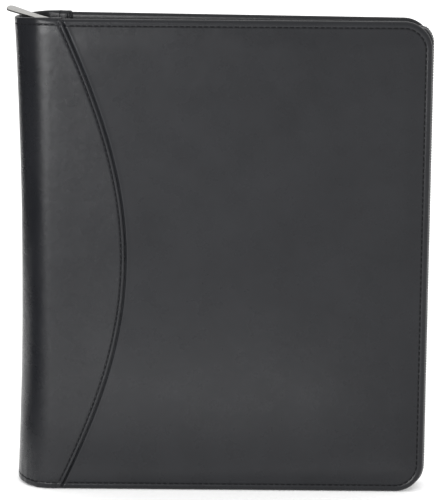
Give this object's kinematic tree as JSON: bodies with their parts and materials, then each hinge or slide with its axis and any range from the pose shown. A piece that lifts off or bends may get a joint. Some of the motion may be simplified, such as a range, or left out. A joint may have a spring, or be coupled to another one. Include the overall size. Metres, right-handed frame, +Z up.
{
  "type": "zip-around ring binder portfolio case",
  "caption": "Padded leather portfolio case with a soft rounded spine, a zip round three sides, inner pockets and a lever-operated ring mechanism.",
  "frame": {"origin": "under the middle of the closed case, on the surface it stands on", "axes": "+Z up along the spine, +X from the spine to the fore edge, -Y out of the front cover's side"},
  "size_m": [0.3016, 0.0676, 0.3402],
  "materials": {
    "cover_leather": "smooth padded leather, satin, charcoal black",
    "overlay_leather": "smooth leather, satin, charcoal black",
    "trim_leather": "smooth leather trim, satin",
    "foam": "soft padding sheet, matte",
    "board": "grey pulp board, matte",
    "lining": "fine plain-weave nylon, matte",
    "pocket_cloth": "fine plain-weave nylon, matte",
    "clear_film": "clear flexible film, glossy",
    "elastic": "ribbed elastic, matte",
    "gusset": "woven gusset cloth, matte",
    "zip_tape": "herringbone woven tape, matte",
    "zip_coil": "black nylon coil, satin",
    "zip_metal": "nickel-plated, satin",
    "pull_metal": "nickel-plated, satin bright",
    "ring_metal": "nickel-plated, bright",
    "rivet_metal": "nickel-plated, bright"
  },
  "bodies": {
    "back_cover": {"back_leather": "cover_leather", "back_foam": "foam", "back_board": "board", "back_lining": "lining", "back_overlay": "overlay_leather", "pad_pocket": "pocket_cloth", "back_gusset": "gusset", "zip_tape_back": "zip_tape", "zip_chain_back": "zip_coil", "zip_stop": "zip_metal", "ring_base_plate": "ring_metal", "rivet_top": "rivet_metal", "rivet_bottom": "rivet_metal"},
    "spine_back": {"spine_leather_back": "overlay_leather", "spine_lining_back": "lining"},
    "spine_middle": {"spine_leather_middle": "overlay_leather", "spine_stiffener": "board", "spine_lining_middle": "lining"},
    "spine_front": {"spine_leather_front": "overlay_leather", "spine_lining_front": "lining"},
    "front_cover": {"front_leather": "cover_leather", "front_foam": "foam", "front_board": "board", "front_lining": "lining", "front_overlay": "overlay_leather", "file_pocket": "pocket_cloth", "card_pocket_top": "pocket_cloth", "card_pocket_middle": "pocket_cloth", "card_pocket_bottom": "pocket_cloth", "id_window_frame": "trim_leather", "id_window": "clear_film", "pen_loop": "elastic", "front_gusset": "gusset", "zip_tape_front": "zip_tape", "zip_chain_front": "zip_coil"},
    "slider": {"zip_slider": "zip_metal", "slider_bail": "zip_metal"},
    "pull": {"pull_tab": "pull_metal"},
    "ring_right": {"ring_half_right": "ring_metal"},
    "ring_left": {"ring_half_left": "ring_metal"},
    "top_lever": {"lever_top": "ring_metal"},
    "bottom_lever": {"lever_bottom": "ring_metal"}
  },
  "joints": [
    {"name": "back_fold", "type": "hinge", "parent": "back_cover", "child": "spine_back", "pos_m": [-0.11341, 0.03385, 0.168], "axis": [0, 0, -1], "range_deg": [0, 46.6], "deforming": ["zip_chain_front", "zip_chain_back"]},
    {"name": "spine_fold_back", "type": "hinge", "parent": "spine_back", "child": "spine_middle", "pos_m": [-0.1409, 0.01046, 0.168], "axis": [0, 0, -1], "range_deg": [0, 46.6]},
    {"name": "spine_fold_front", "type": "hinge", "parent": "spine_middle", "child": "spine_front", "pos_m": [-0.1409, -0.01046, 0.168], "axis": [0, 0, -1], "range_deg": [0, 46.6]},
    {"name": "front_fold", "type": "hinge", "parent": "spine_front", "child": "front_cover", "pos_m": [-0.11341, -0.03385, 0.168], "axis": [0, 0, -1], "range_deg": [0, 46.6]},
    {"name": "zip_slide", "type": "slide", "parent": "back_cover", "child": "slider", "axis": [1, 0, 0], "range_m": [0, 0.23], "deforming": ["zip_chain_front", "zip_chain_back"]},
    {"name": "pull_swing", "type": "hinge", "parent": "slider", "child": "pull", "pos_m": [-0.11471, 0, 0.3309], "axis": [0.4462, 0.8949, 0], "range_deg": [0, 150]},
    {"name": "ring_right_open", "type": "hinge", "parent": "back_cover", "child": "ring_right", "pos_m": [-0.08028, 0.02322, 0.168], "axis": [0, 0, 1], "range_deg": [0, 22]},
    {"name": "ring_left_open", "type": "hinge", "parent": "back_cover", "child": "ring_left", "pos_m": [-0.09346, 0.02396, 0.168], "axis": [0, 0, -1], "range_deg": [0, 22]},
    {"name": "lever_top_tilt", "type": "hinge", "parent": "back_cover", "child": "top_lever", "pos_m": [-0.08695, 0.02209, 0.303], "axis": [-0.9984, 0.0563, 0], "range_deg": [0, 35.3]},
    {"name": "lever_bottom_tilt", "type": "hinge", "parent": "back_cover", "child": "bottom_lever", "pos_m": [-0.08695, 0.02209, 0.033], "axis": [0.9984, -0.0563, 0], "range_deg": [0, 35.3]}
  ],
  "couplings": [
    {"joint": "spine_fold_back", "follows": "back_fold", "ratio": 1},
    {"joint": "spine_fold_front", "follows": "back_fold", "ratio": 1},
    {"joint": "front_fold", "follows": "back_fold", "ratio": 1},
    {"joint": "ring_left_open", "follows": "ring_right_open", "ratio": 1},
    {"joint": "lever_top_tilt", "follows": "ring_right_open", "ratio": 1.6},
    {"joint": "lever_bottom_tilt", "follows": "ring_right_open", "ratio": 1.6}
  ]
}
